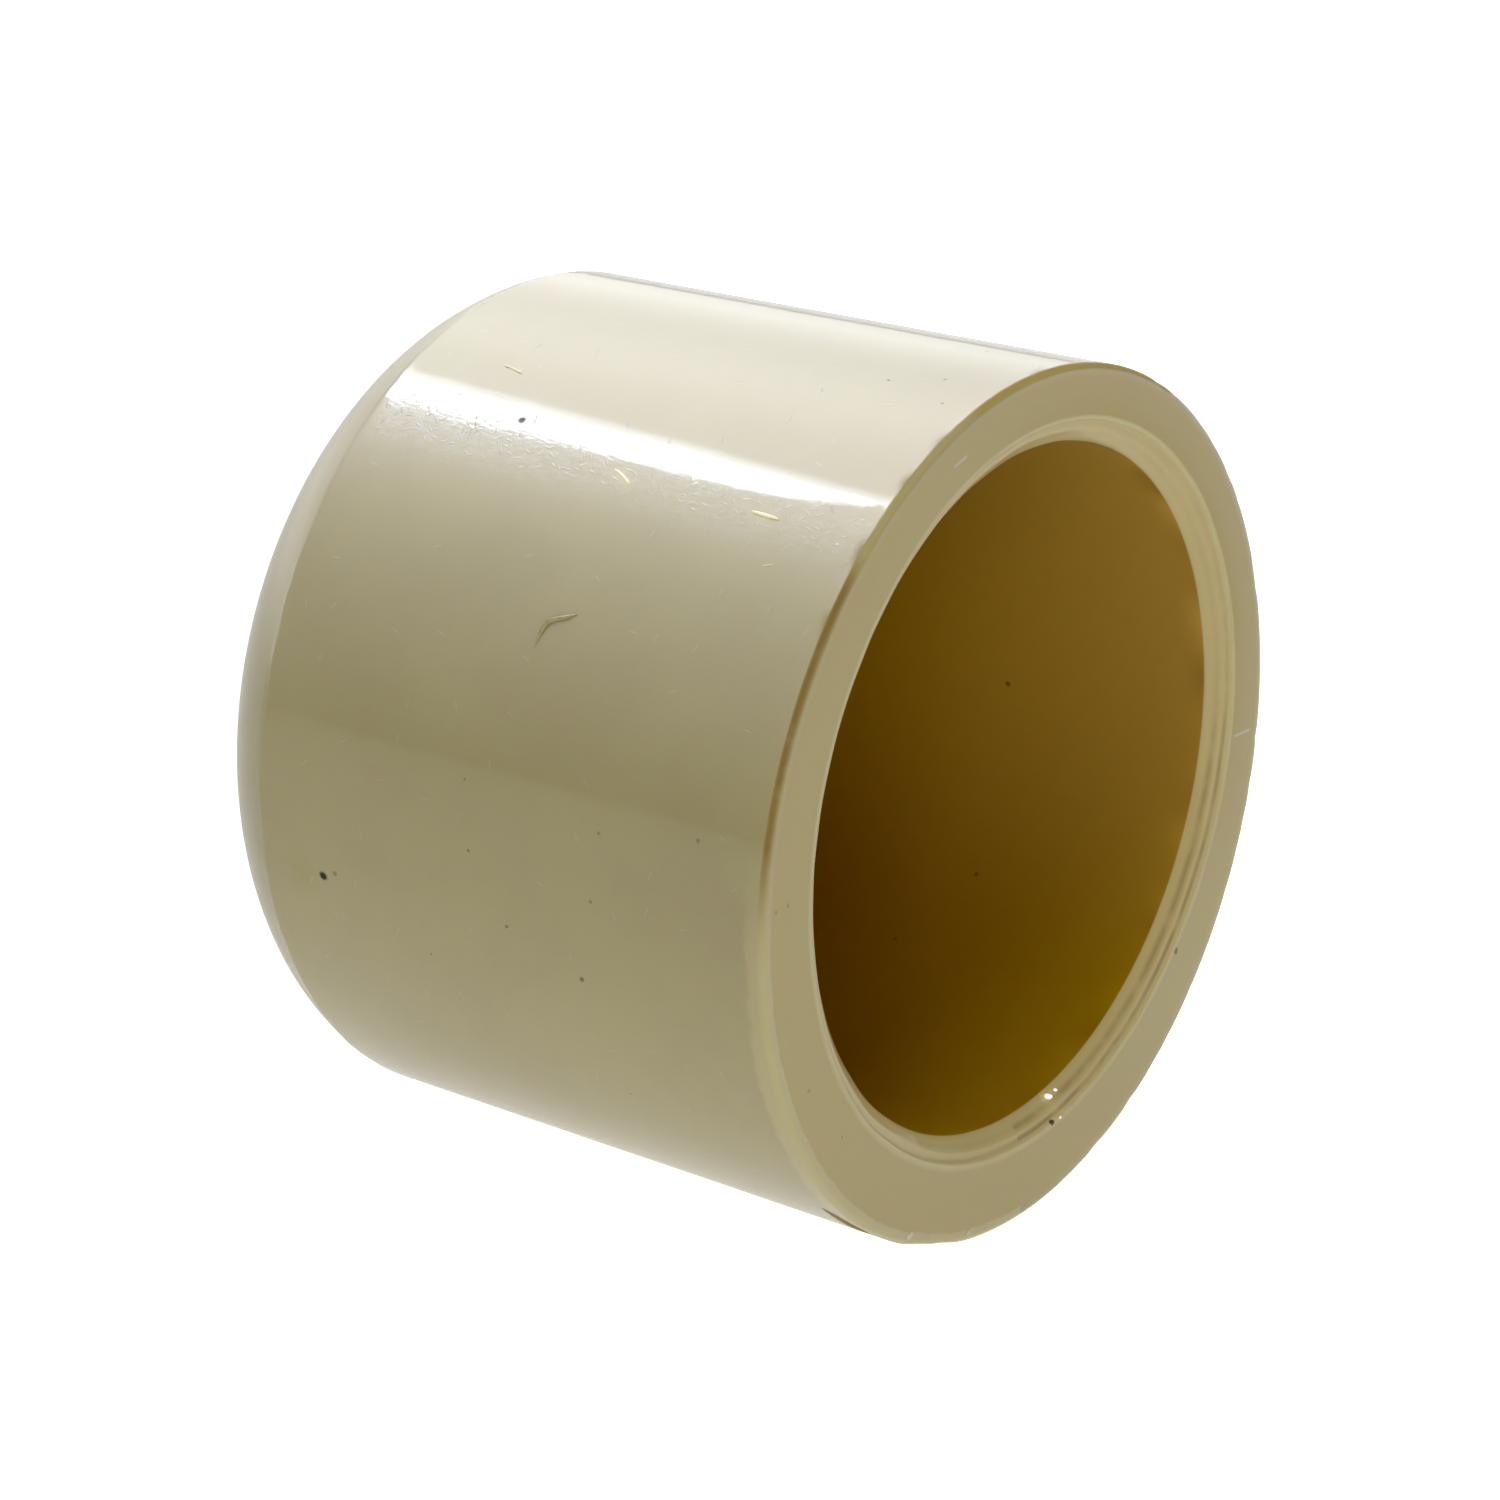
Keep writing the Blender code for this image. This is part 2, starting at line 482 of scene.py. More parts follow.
# The plastic itself, with the reach of light in it for red, green and blue in mm
PLASTIC_ROUGHNESS = 0.32
PLASTIC_IOR = 1.5
PLASTIC_SPECULAR = 0.15
LIGHT_SCATTERED = 0.6
SCATTER_REACH = (0.9, 0.6, 0.2)
SCATTER_SCALE = 1.0 * MM

# Share of the sharp gloss that the socket and lead-in lack, and how rough the gloss is elsewhere
SOCKET_DULL = 0.6
LEAD_IN_DULL = 0.6
WALL_GLOSS = 0.04
SHOULDER_MATT = 0.35

# Dark specks on the wall, as (mm behind the mouth, degrees from the top towards -Y, radius in mm,
# darkness)
WALL_SPECKS = [
    (14.4, 31.0, 0.13, 1.0),
    (17.4, 97.8, 0.15, 1.0),
    (16.9, 97.0, 0.08, 0.4),
    (3.0, -7.0, 0.07, 0.7),
    (2.3, 6.5, 0.06, 0.6),
    (1.4, 12.5, 0.06, 0.5),
    (3.9, 9.5, 0.06, 0.6),
    (11.6, 79.0, 0.05, 0.4),
    (2.6, 78.5, 0.06, 0.4),
    (6.3, 81.0, 0.07, 0.4),
    (11.3, 88.0, 0.05, 0.5),
    (6.5, 90.0, 0.06, 0.4),
    (9.9, 97.0, 0.06, 0.5),
    (7.1, 101.5, 0.08, 0.6),
    (13.3, 105.0, 0.05, 0.5),
    (6.5, 120.0, 0.05, 0.4),
]

# Dark specks on the socket's wall, in the same form
BORE_SPECKS = [
    (8.3, -97.0, 0.09, 0.6),
    (7.7, -131.0, 0.08, 0.5),
    (9.4, -147.0, 0.08, 0.4),
]

# Dark specks on the mouth face, as (mm from the wall's axis, degrees, radius in mm, darkness)
FACE_SPECKS = [
    (13.0, 85.3, 0.07, 0.35),
    (13.6, 85.6, 0.07, 0.3),
    (13.0, 114.3, 0.07, 0.3),
    (12.6, 126.9, 0.05, 0.3),
    (12.2, -131.0, 0.11, 0.6),
    (11.63, -171.1, 0.12, 0.9),
]

# Pale scratches on the mouth face, as (mm from the wall's axis, degrees) at each end, with half
# their width in mm
FACE_SCRATCHES = [
    ((13.2, 16.6), (13.25, 19.6)),
    ((12.6, -96.2), (13.6, -96.0)),
]
SCRATCH_HALF_WIDTH = 0.07
SCRATCH_WHITENING = 0.6

# Yellow stain beside the largest speck, as (mm behind the mouth, degrees), with its radius in mm
STAIN = (18.4, 98.4)
STAIN_RADIUS = 1.2
STAIN_SHARE = 0.3

# Scuffed band along the wall, under the long highlight, whose whitening is partly a painted sheen of that
# highlight:
# where its upper and lower borders fade, as mm round from the top at the closed end. Towards the mouth it
# lies further round, by the slope, and it grows fainter between these distances from the closed end
FRINGE_UPPER = (7.0, 7.6)
FRINGE_LOWER = (7.9, 9.8)
FRINGE_SLOPE = 0.065
FRINGE_FADE = (5.0, 15.0)
FRINGE_AT_MOUTH = 0.3

# Short nicks in the wall, as the mm between them, their length and width in mm, and the share of
# places that have one
Nicks = namedtuple("Nicks", "spacing length width share")
SPARSE_NICKS = Nicks(1.7, 0.22, 0.035, 0.5)
CROWDED_NICKS = Nicks(0.30, 0.17, 0.035, 0.7)
SPARSE_WHITENING = 0.25
# Whitening of the haze in the scuffed band, partly a painted sheen of the long highlight
HAZE_AND_SHEEN_WHITENING = (0.3, 0.8)

# Where the rim's tones, partly painted light and shade, and the painted shade in the grooves change, in
# degrees from the top towards -Y
RIM_BACK = (-65.0, -45.0)
RIM_TOP = (10.0, 17.0)
RIM_FRONT = (36.0, 46.0)
RIM_BELOW = (76.0, 94.0)
GROOVE_SIDE = (-105.0, -80.0)

# Ways in which the moulding is thinnest, and lets light through to the socket and to the face, where that
# light is painted into the colour
SOCKET_THIN_SIDE = Vector((0.0, 0.86, 0.5))
FACE_THIN_SIDE = Vector((0.0, 0.8, 0.6))

# Wavelengths of the unevenness in mm, and how marks are drawn out along the wall
CLOUD_SIZE = 5.0
PATCH_SIZE = 2.2
GROOVE_SHADE_SIZE = 1.5
PEEL_SIZE = 0.9
RIM_RAGGED_SIZE = 0.8
HAZE_SIZE = 0.3
GRAIN_SIZE = 0.25
COMB_SIZE = 0.11
SCRAP_CLOUD_SIZE = 0.2
HAZE_STRETCH = (0.5, 1.0, 1.0)
COMB_STRETCH = (0.35, 1.0, 1.0)

# Heights of the unevenness that the bump shows, in units of a tenth of a micrometre
HEIGHT_UNIT = 0.0001 * MM
SPARSE_HEIGHT = 50.0
CROWDED_HEIGHT = 60.0
FRINGE_COMBING = 40.0
PATCH_COMBING = 12.0
PEEL_HEIGHT = 14.0
GRAIN_HEIGHT = 3.0
SPECK_RAGGEDNESS = 0.12


def wall_point(depth_mm, degrees):
    """Point on the outer wall."""
    depth = depth_mm * MM
    return Vector((LENGTH - depth, 0.0, 0.0)) + direction(math.radians(degrees)) * wall_radius(depth)


def bore_point(depth_mm, degrees):
    """Point on the socket's wall."""
    depth = depth_mm * MM
    radius = BORE_RADIUS + (SOCKET_END_RADIUS - BORE_RADIUS) * depth / SOCKET_DEPTH
    return Vector((LENGTH - depth, 0.0, 0.0)) + CORE_SHIFT + direction(math.radians(degrees)) * radius


def mouth_point(radius_mm, degrees, depth_mm=0.0):
    """Point on or behind the mouth face, by distance from the outer wall's axis."""
    middle = Vector((LENGTH - depth_mm * MM, 0.0, 0.0))
    return middle + direction(math.radians(degrees)) * radius_mm * MM


def specks(graph, place, ragged):
    """Darkness of the specks."""
    found = 0.0
    surfaces = [(wall_point, WALL_SPECKS), (bore_point, BORE_SPECKS), (mouth_point, FACE_SPECKS)]
    for point_on, listed in surfaces:
        for first, degrees, radius, darkness in listed:
            away = graph.math("ADD", graph.distance(place, point_on(first, degrees)), ragged)
            speck = graph.ramp(away, radius * 0.6, radius * 1.3, darkness, 0.0)
            found = graph.math("MAXIMUM", found, speck)
    return found


def scratches(graph, place):
    """How far the scratches on the mouth face whiten it."""
    found = 0.0
    for first_end, second_end in FACE_SCRATCHES:
        start = mouth_point(*first_end)
        end = mouth_point(*second_end)
        reach = (end - start).length / MM
        from_start = graph.vector("SUBTRACT", place, tuple(start / MM))
        across = graph.vector("CROSS_PRODUCT", from_start, tuple((end - start).normalized()))
        line_away = graph.vector("LENGTH", across, output="Value")
        width = SCRATCH_HALF_WIDTH
        on_line = graph.ramp(line_away, width * 0.4, width, SCRATCH_WHITENING, 0.0)
        middle_away = graph.distance(place, (start + end) / 2)
        within = graph.ramp(middle_away, reach * 0.4, reach * 0.6, 1.0, 0.0)
        found = graph.math("MAXIMUM", found, graph.product(on_line, within))
    return found


def angle_round(graph, place):
    """Angle round the cap in radians, from the top towards -Y."""
    parts = graph.split(place)
    return graph.math("ARCTAN2", graph.product(parts.outputs["Y"], -1.0), parts.outputs["Z"])


def turn_ramp(graph, angle, degrees, start=0.0, end=1.0):
    """Smooth step from start to end over a stretch of degrees round the cap."""
    low, high = degrees
    return graph.ramp(angle, math.radians(low), math.radians(high), start, end)


def wall_chart(graph, place):
    """Flattened wall: mm along the axis, and mm round the wall from the top towards -Y."""
    along = graph.split(place).outputs["X"]
    around = graph.product(angle_round(graph, place), RIM_RADIUS / MM)
    return graph.add("ShaderNodeCombineXYZ", {"X": along, "Y": around})


def nicked(graph, chart, nicks):
    """1 on short nicks that lie every way, in a share of the cells of a loose grid."""
    scaled = graph.vector("SCALE", chart, scale=1 / nicks.spacing)
    cells = {"Vector": scaled, "Scale": 1.0}
    cell = graph.add("ShaderNodeTexVoronoi", cells, voronoi_dimensions="2D").node
    offset = graph.vector("SUBTRACT", scaled, cell.outputs["Position"])
    chance = graph.add("ShaderNodeSeparateColor", {0: cell.outputs["Color"]}).node
    turn = graph.product(chance.outputs["Red"], math.pi)
    turned = graph.add("ShaderNodeVectorRotate", {"Vector": offset, "Angle": turn}, rotation_type="Z_AXIS")
    stretch = (nicks.spacing / nicks.length, nicks.spacing / nicks.width, 0.0)
    away = graph.vector("LENGTH", graph.vector("MULTIPLY", turned, stretch), output="Value")
    there = graph.math("LESS_THAN", chance.outputs["Green"], nicks.share)
    return graph.product(graph.ramp(away, 0.5, 1.0, 1.0, 0.0), there)


def scuff_and_sheen_band(graph, chart):
    """1 in the scuffed band along the wall under the long highlight, fading at its borders and towards the
    mouth. Its whitening is partly a painted sheen.
    """
    parts = graph.split(chart)
    along = parts.outputs["X"]
    around = graph.math("SUBTRACT", parts.outputs["Y"], graph.product(along, FRINGE_SLOPE))
    upper = graph.ramp(around, *FRINGE_UPPER)
    lower = graph.ramp(around, *FRINGE_LOWER, 1.0, 0.0)
    fading = graph.ramp(along, *FRINGE_FADE, 1.0, FRINGE_AT_MOUTH)
    return graph.product(upper, lower, fading, graph.mask("wall"))


def scuffs_and_sheen(graph, place):
    """Fine handling marks: height of the surface, and how far they whiten the plastic, which in the band
    under the long highlight is partly a painted sheen.
    """
    chart = wall_chart(graph, place)
    fringe = scuff_and_sheen_band(graph, chart)
    sparse = graph.product(nicked(graph, chart, SPARSE_NICKS), graph.mask("wall"))
    crowded = graph.product(nicked(graph, chart, CROWDED_NICKS), fringe)

    combed = graph.noise(graph.vector("MULTIPLY", chart, COMB_STRETCH), COMB_SIZE, detail=1.0)
    patches = graph.ramp(graph.noise(place, PATCH_SIZE), 0.4, 0.6)
    patches = graph.product(patches, PATCH_COMBING)
    combing = graph.math("ADD", graph.product(fringe, FRINGE_COMBING), patches)
    height = graph.product(combed, combing)
    height = graph.math("ADD", height, graph.product(sparse, SPARSE_HEIGHT))
    height = graph.math("ADD", height, graph.product(crowded, CROWDED_HEIGHT))

    cloudy = graph.noise(graph.vector("MULTIPLY", chart, HAZE_STRETCH), HAZE_SIZE, detail=3.0)
    haze = graph.product(fringe, graph.ramp(cloudy, 0.35, 0.65, *HAZE_AND_SHEEN_WHITENING))
    whitened = graph.math("MAXIMUM", graph.product(sparse, SPARSE_WHITENING), crowded)
    return height, graph.math("MAXIMUM", whitened, haze)


def socket_colour(graph, place):
    """Gold of painted light and shade: paler at the mouth and on the thin upper side where light comes
    through, and deeper further in.
    """
    towards_thin = graph.along(place, SOCKET_THIN_SIDE / (BORE_RADIUS / MM))
    depth = graph.mask("depth")
    base = graph.mix(depth, SOCKET_TAN, SHADED_GOLD)
    lit = graph.mix(depth, SOCKET_GLOW, SOCKET_TAN)
    return graph.mix(graph.ramp(towards_thin, 0.1, 1.1), base, lit)


def rim_tones(graph, place, colour):
    """Rim edge: golden over the top as painted light that comes through the edge, brown on the front as
    painted shade, and paler and wide below.

    Gives the colour, and how far the edge dulls the gloss.
    """
    angle = angle_round(graph, place)
    back = turn_ramp(graph, angle, RIM_BACK)
    front = turn_ramp(graph, angle, RIM_FRONT)
    below = turn_ramp(graph, angle, RIM_BELOW)
    top = turn_ramp(graph, angle, RIM_TOP, 0.8, 0.25)
    shown = graph.math("MAXIMUM", top, front)
    ragged = graph.noise(place, RIM_RAGGED_SIZE, detail=3.0)

    rim = graph.mask("rim_edge")
    uneven = graph.ramp(ragged, 0.25, 0.5, 0.7, 1.0)
    edge = graph.product(rim, uneven, back, graph.math("SUBTRACT", 1.0, below), shown)
    colour = graph.mix(edge, colour, graph.mix(front, EDGE_LIT_GOLD, EDGE_SHADE_BROWN))

    reach = graph.math("SUBTRACT", graph.mask("pale_rim"), graph.product(ragged, 0.6))
    wide = graph.product(graph.ramp(reach, -0.05, 0.25), below)
    upper = graph.product(rim, graph.math("SUBTRACT", 0.8, shown))
    pale = graph.math("MAXIMUM", graph.product(wide, 0.8), upper)
    return graph.mix(pale, colour, EDGE_PALE), graph.math("MAXIMUM", edge, upper)


def face_colour(graph, place):
    """Mouth face: yellower on the thin upper side by the step, as painted shade and light that comes
    through.
    """
    towards_thin = graph.along(place, FACE_THIN_SIDE / (RIM_RADIUS / MM))
    inner = graph.vector("LENGTH", graph.vector("MULTIPLY", place, (0.0, 1.0, 1.0)), output="Value")
    inner = graph.ramp(inner, STEP_RADIUS / MM + 0.3, STEP_RADIUS / MM + 1.6, 1.0, 0.25)
    yellow = graph.product(graph.ramp(towards_thin, 0.2, 0.95), inner)
    return graph.mix(yellow, FACE_CREAM, FACE_YELLOW)


def groove_share(graph, place):
    """Painted shade in the lead-in's grooves, thickest on the low side away from the front."""
    side = turn_ramp(graph, angle_round(graph, place), GROOVE_SIDE, 0.55, 0.1)
    patchy = graph.ramp(graph.noise(place, GROOVE_SHADE_SIZE, detail=3.0), 0.35, 0.6, 0.4, 1.0)
    return graph.product(graph.mask("groove"), side, patchy)


def plain_colour(graph, place):
    """Colour of the clean plastic by the part of the moulding, with painted light and shade in the socket,
    on the face, lead-in and rim, and how far the rim lacks gloss.
    """
    cloud = graph.noise(place, CLOUD_SIZE, detail=3.0)
    colour = graph.mix(graph.ramp(cloud, 0.35, 0.65), CLOUDED_CREAM, CREAM)
    colour = graph.mix(graph.mask("inside"), colour, socket_colour(graph, place))
    colour = graph.mix(graph.mask("mouth_face"), colour, face_colour(graph, place))
    colour = graph.mix(graph.mask("lead_in"), colour, LIP_LIT_TAN)
    colour = graph.mix(groove_share(graph, place), colour, GROOVE_SHADE_BROWN)
    colour = graph.mix(graph.mask("step_edge"), colour, STEP_HIGHLIGHT_CREAM)
    return rim_tones(graph, place, colour)


def gloss(graph, edge, specked):
    """Weight and roughness of the clear gloss."""
    lead_in = graph.math("ADD", graph.mask("lead_in"), graph.mask("step_edge"))
    dulled = graph.math("MAXIMUM", edge, graph.product(graph.mask("inside"), SOCKET_DULL))
    dulled = graph.math("MAXIMUM", dulled, graph.product(lead_in, LEAD_IN_DULL))
    dulled = graph.math("MAXIMUM", dulled, specked)
    matt = graph.product(graph.mask("shoulder"), SHOULDER_MATT)
    return graph.math("SUBTRACT", 1.0, dulled), graph.math("ADD", matt, WALL_GLOSS)


def cpvc():
    """Glossy cream CPVC: cloudy and translucent, scuffed, specked, and painted golden where it is shaded.
    """
    material = new_material("cream_cpvc")
    graph = Graph(material)
    place = graph.place()
    grain = graph.noise(place, GRAIN_SIZE)

    colour, edge = plain_colour(graph, place)
    stained = graph.distance(place, wall_point(*STAIN))
    colour = graph.mix(graph.ramp(stained, 0.0, STAIN_RADIUS, STAIN_SHARE, 0.0), colour, STAIN_YELLOW)
    ragged = graph.product(graph.math("SUBTRACT", grain, 0.5), SPECK_RAGGEDNESS)
    specked = specks(graph, place, ragged)
    colour = graph.mix(specked, colour, SPECK_BROWN)
    height, whitened = scuffs_and_sheen(graph, place)
    colour = graph.mix(graph.math("MAXIMUM", whitened, scratches(graph, place)), colour, NICK_AND_SHEEN_WHITE)

    peel = graph.product(graph.noise(place, PEEL_SIZE), PEEL_HEIGHT)
    fine = graph.math("ADD", peel, graph.product(grain, GRAIN_HEIGHT))
    height = graph.math("ADD", height, fine)
    bump = graph.add("ShaderNodeBump", {"Distance": HEIGHT_UNIT, "Height": height})
    scattered = graph.product(graph.math("SUBTRACT", 1.0, specked), LIGHT_SCATTERED)
    gloss_weight, gloss_roughness = gloss(graph, edge, specked)

    shader = graph.tree.nodes["Principled BSDF"]
    settings = {
        "Base Color": colour,
        "Roughness": PLASTIC_ROUGHNESS,
        "IOR": PLASTIC_IOR,
        "Specular IOR Level": PLASTIC_SPECULAR,
        "Subsurface Weight": scattered,
        "Subsurface Radius": SCATTER_REACH,
        "Subsurface Scale": SCATTER_SCALE,
        "Coat Weight": gloss_weight,
        "Coat Roughness": gloss_roughness,
        "Coat IOR": PLASTIC_IOR,
        "Normal": bump,
        "Coat Normal": bump,
    }
    for name, value in settings.items():
        graph.feed(shader.inputs[name], value)
    return material


# Plastic of the shavings and nibs, with the strength of its own light, which is a painted glint.
# Its colour wavers down to a darker shade. The white of the nibs is a painted highlight too
Scrap = namedtuple("Scrap", "name colour glint")
TAN = Scrap("tan_shaving", rgb(0.68, 0.58, 0.28), 0.03)
BROWN = Scrap("brown_flash", rgb(0.50, 0.36, 0.12), 0.0)
PALE_GLINT = Scrap("pale_glint_shaving", rgb(0.90, 0.86, 0.62), 0.6)
CREAM_BURR = Scrap("cream_burr", rgb(0.92, 0.84, 0.55), 0.1)
GLINT_WHITE_NIB = Scrap("glint_white_nib", rgb(0.96, 0.96, 0.93), 0.8)
SCRAPS = [TAN, BROWN, PALE_GLINT, CREAM_BURR, GLINT_WHITE_NIB]
SCRAP_SHADE = 0.8
SCRAP_ROUGHNESS = 0.2

# Shavings that cling to the wall. A route is (mm behind the mouth, degrees, mm off the wall) along
# it, and a thickness is in mm
Shaving = namedtuple("Shaving", "name route thickness scrap")
CURL = [
    (8.85, 55.5, 0.0),
    (9.15, 56.2, 0.05),
    (9.45, 56.6, 0.06),
    (9.7, 57.0, 0.06),
    (9.85, 57.7, 0.05),
    (9.93, 58.8, 0.03),
    (10.02, 61.0, -0.03),
]
UPPER_SLIVER = [(16.6, 22.3, 0.02), (15.8, 23.0, 0.04)]
MIDDLE_SLIVER = [(10.0, 35.5, 0.02), (9.6, 36.1, 0.05), (9.2, 37.1, 0.02)]
MOUTH_SLIVER = [(4.5, 37.2, 0.03), (4.0, 37.35, 0.05), (3.5, 37.5, 0.04)]
FLASH = [(1.0, 137.0, -0.04), (0.6, 141.0, 0.02), (0.3, 146.0, -0.05)]
SHAVINGS = [
    Shaving("curled_shaving", CURL, 0.14, TAN),
    Shaving("upper_sliver", UPPER_SLIVER, 0.11, PALE_GLINT),
    Shaving("middle_sliver", MIDDLE_SLIVER, 0.15, PALE_GLINT),
    Shaving("mouth_sliver", MOUTH_SLIVER, 0.15, PALE_GLINT),
    Shaving("gate_flash", FLASH, 0.3, BROWN),
]
SHAVING_TIP = 0.3


def build_shaving(shaving, material):
    """Thin round shaving with narrow ends, lying along the wall."""
    data = bpy.data.curves.new(shaving.name, "CURVE")
    data.dimensions = "3D"
    data.bevel_depth = shaving.thickness * MM / 2
    data.bevel_resolution = 3
    data.use_fill_caps = True
    spline = data.splines.new("NURBS")
    spline.points.add(len(shaving.route) - 1)
    for i, (depth_mm, degrees, clear_mm) in enumerate(shaving.route):
        place = wall_point(depth_mm, degrees) + direction(math.radians(degrees)) * clear_mm * MM
        spline.points[i].co = (*place, 1.0)
        spline.points[i].radius = SHAVING_TIP if i in (0, len(shaving.route) - 1) else 1.0
    spline.order_u = min(3, len(shaving.route))
    spline.use_endpoint_u = True
    spline.resolution_u = 8
    data.materials.append(material)
    piece = link_object(shaving.name, data)
    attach(piece, "root")


# Nibs of torn plastic, as a place, the way the flat side faces, and three widths in mm. Their lumps
# are shares of a blob that is 1 across
Nib = namedtuple("Nib", "name place facing widths scrap")
NIB_LUMP_HEIGHT = 0.25
NIB_LUMP_SIZE = 0.4


def glint_facing():
    """Way a flat nib faces to throw the long lamp's light at the camera."""
    to_camera = away_from(CAMERA_AZIMUTH, CAMERA_ELEVATION)
    lamp = (STREAK_START + STREAK_END) / 2
    to_lamp = Vector((lamp.x, lamp.y, STREAK_HEIGHT)).normalized()
    return (to_camera + to_lamp).normalized()


def nibs():
    """Burrs at the gate flat's corners, and nibs on the lead-in that catch the light, all with painted
    glints.
    """
    glint = glint_facing()
    mouth = Vector((1.0, 0.0, 0.0))
    return [
        Nib("gate_burr_front", mouth_point(13.92, 152.8), mouth, (0.34, 0.22, 0.10), CREAM_BURR),
        Nib("gate_burr_back", mouth_point(13.90, 167.3), mouth, (0.24, 0.24, 0.12), CREAM_BURR),
        Nib("lead_in_nib", mouth_point(10.99, -169.0, 0.36), glint, (0.32, 0.18, 0.10), GLINT_WHITE_NIB),
        Nib("lead_in_nib_small", mouth_point(10.97, -167.0, 0.34), glint, (0.15, 0.11, 0.06), GLINT_WHITE_NIB),
        Nib("step_nib", mouth_point(11.74, -168.8, 0.06), glint, (0.20, 0.13, 0.06), GLINT_WHITE_NIB),
    ]


def build_nib(nib, material):
    """Lumpy flattened blob, half sunk in the moulding."""
    mesh = bpy.data.meshes.new(nib.name)
    blob = bmesh.new()
    bmesh.ops.create_icosphere(blob, subdivisions=4, radius=0.5)
    turn = nib.facing.to_track_quat("Z", "Y").to_matrix().to_4x4()
    shape = Matrix.Translation(nib.place) @ turn @ Matrix.Diagonal((*(Vector(nib.widths) * MM), 1.0))
    for vertex in blob.verts:
        rim = 1.0 - abs(vertex.co.z) * 2
        lump = noise_at(vertex.co, NIB_LUMP_SIZE, nib.widths[0] * 10)
        vertex.co *= 1.0 + NIB_LUMP_HEIGHT * rim * lump
    bmesh.ops.transform(blob, matrix=shape, verts=blob.verts)
    blob.to_mesh(mesh)
    blob.free()
    mesh.shade_smooth()
    mesh.materials.append(material)
    piece = link_object(nib.name, mesh)
    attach(piece, "root")


def scrap_plastic(scrap):
    """Thin plastic, a little uneven in colour, with a painted glint of the light it catches, as light of
    its own.
    """
    material = new_material(scrap.name)
    graph = Graph(material)
    darker = rgb(*[channel * SCRAP_SHADE for channel in scrap.colour[:3]])
    uneven = graph.ramp(graph.noise(graph.place(), SCRAP_CLOUD_SIZE), 0.35, 0.65)
    shader = graph.tree.nodes["Principled BSDF"]
    graph.feed(shader.inputs["Base Color"], graph.mix(uneven, darker, scrap.colour))
    graph.feed(shader.inputs["Roughness"], SCRAP_ROUGHNESS)
    graph.feed(shader.inputs["Emission Color"], scrap.colour)
    graph.feed(shader.inputs["Emission Strength"], scrap.glint)
    return material


# Camera, with its angles in degrees, and its lens and sensor in mm
CAMERA_AIM = Vector((16.12, -4.63, 1.75)) * MM
CAMERA_DISTANCE = 168.7 * MM
CAMERA_AZIMUTH = 36.16
CAMERA_ELEVATION = 20.9
CAMERA_LENS = 128.5
CAMERA_SENSOR = 36.0
CAMERA_NEAREST = 1.0 * MM

WHITE = rgb(1.0, 1.0, 1.0)

# Soft square lamps that light the plastic and stay out of its gloss
Lamp = namedtuple("Lamp", "name azimuth elevation radiance")
LAMP_SIZE = 350 * MM
LAMP_DISTANCE = 500 * MM
LAMPS = [
    Lamp("top_panel", 180.0, 85.0, 2.0),
    Lamp("back_panel", 180.0, 20.0, 1.35),
    Lamp("mouth_panel", 45.0, 15.0, 1.65),
]

# What the gloss mirrors, as (towards, how narrow, radiance). The first six lie on the ring of
# directions that the wall mirrors to the camera, from behind the cap over the top to the front
Glow = namedtuple("Glow", "name towards narrow radiance")
GLOWS = [
    Glow("low_behind", (-0.55, 0.82, 0.14), 20.0, 1.28),
    Glow("behind", (-0.55, 0.68, 0.48), 20.0, 1.1),
    Glow("high_behind", (-0.55, 0.42, 0.72), 20.0, 3.9),
    Glow("overhead", (-0.55, 0.0, 0.83), 20.0, 4.65),
    Glow("high_front", (-0.55, -0.42, 0.72), 20.0, 1.85),
    Glow("front", (-0.55, -0.72, 0.42), 20.0, 0.92),
    Glow("closed_end_side", (-1.0, 0.0, 0.05), 5.0, 2.55),
]

# Floor, and how bright it looks by its bounced light, in the gloss and to the camera
FLOOR_SIZE = 4.0
FLOOR_BOUNCE = 0.15
FLOOR_MIRRORED = 0.52
FLOOR_SEEN = 1.0
FLOOR_ROUGHNESS = 0.9
FLOOR_PALE = rgb(0.8, 0.8, 0.79)


def away_from(azimuth, elevation):
    """Unit vector towards a lamp or camera. Azimuth 0 is at -Y, and 90 at +X."""
    a = math.radians(azimuth)
    e = math.radians(elevation)
    return Vector((math.sin(a) * math.cos(e), -math.cos(a) * math.cos(e), math.sin(e)))


def aim(thing, target):
    """Turn a lamp or camera, whose -Z looks forward, to face a point."""
    thing.rotation_euler = (target - thing.location).to_track_quat("-Z", "Y").to_euler()


def build_lamps(target):
    """Soft lamps that face the cap."""
    for lamp in LAMPS:
        data = bpy.data.lights.new(lamp.name, "AREA")
        data.size = LAMP_SIZE
        data.energy = lamp.radiance * math.pi * LAMP_SIZE**2
        light = link_object(lamp.name, data)
        light.location = target + away_from(lamp.azimuth, lamp.elevation) * LAMP_DISTANCE
        light.visible_glossy = False
        light.visible_camera = False
        aim(light, target)


# Long lamp whose reflection is the white streak along the wall: a wedge with a blunt near end,
# shown here as its ends' middles and half widths
STREAK_HEIGHT = 300 * MM
STREAK_START = Vector((-177.5, 7.5)) * MM
STREAK_END = Vector((-330.0, 96.0)) * MM
STREAK_START_HALF_WIDTH = 18.0 * MM
STREAK_END_HALF_WIDTH = 34.0 * MM
STREAK_BLUNT_END = 1.4 * MM
STREAK_RADIANCE = 12.0
STREAK_COLOUR = rgb(0.84, 0.90, 1.08)
STREAK_STATIONS = 8
# Across the lamp, as (share of the half width from its middle, brightness)
STREAK_PROFILE = [(-1.0, 0.0), (-0.9, 1.0), (0.35, 1.0), (0.7, 0.45), (1.25, 0.0)]


